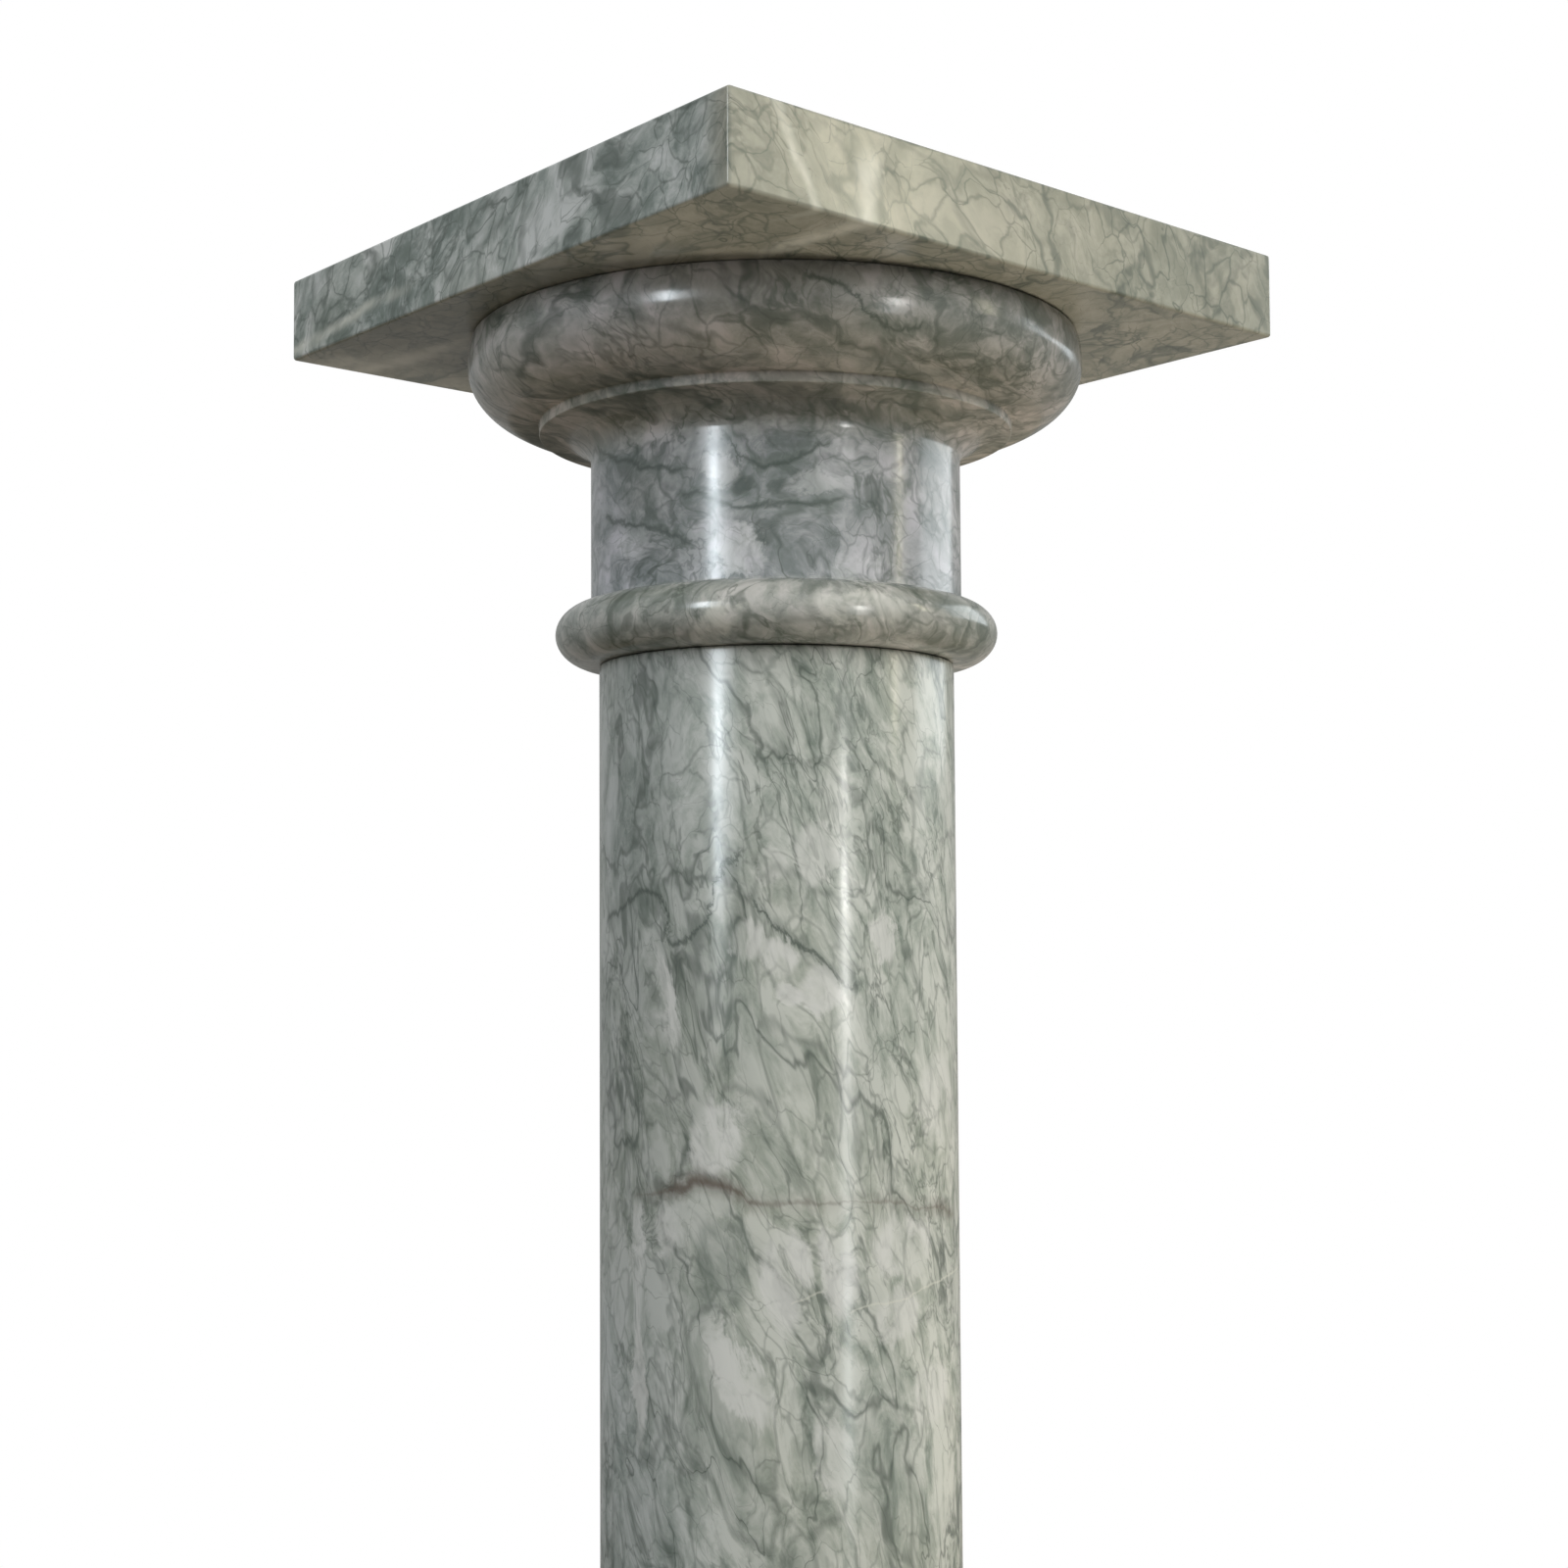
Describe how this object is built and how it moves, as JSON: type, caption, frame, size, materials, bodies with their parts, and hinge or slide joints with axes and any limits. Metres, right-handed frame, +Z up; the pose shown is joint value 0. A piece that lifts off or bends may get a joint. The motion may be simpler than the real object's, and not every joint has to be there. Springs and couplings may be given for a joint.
{
  "type": "marble pedestal column",
  "caption": "Polished marble pedestal column: square top slab, turned capital with neck ring, plain round shaft, turned base and square plinth.",
  "frame": {"origin": "centre of the plinth's underside, on the floor", "axes": "+Z up along the shaft's axis, X and Y square to the plinth's sides"},
  "size_m": [0.305, 0.305, 1.05],
  "materials": {
    "plinth_marble": "polished grey-green veined marble",
    "base_marble": "polished grey-green veined marble",
    "shaft_marble": "polished grey-green veined marble",
    "capital_marble": "polished grey veined marble",
    "slab_marble": "polished grey-beige veined marble"
  },
  "bodies": {
    "root": {"plinth": "plinth_marble", "base": "base_marble", "shaft": "shaft_marble", "capital": "capital_marble", "top_slab": "slab_marble"}
  },
  "joints": []
}
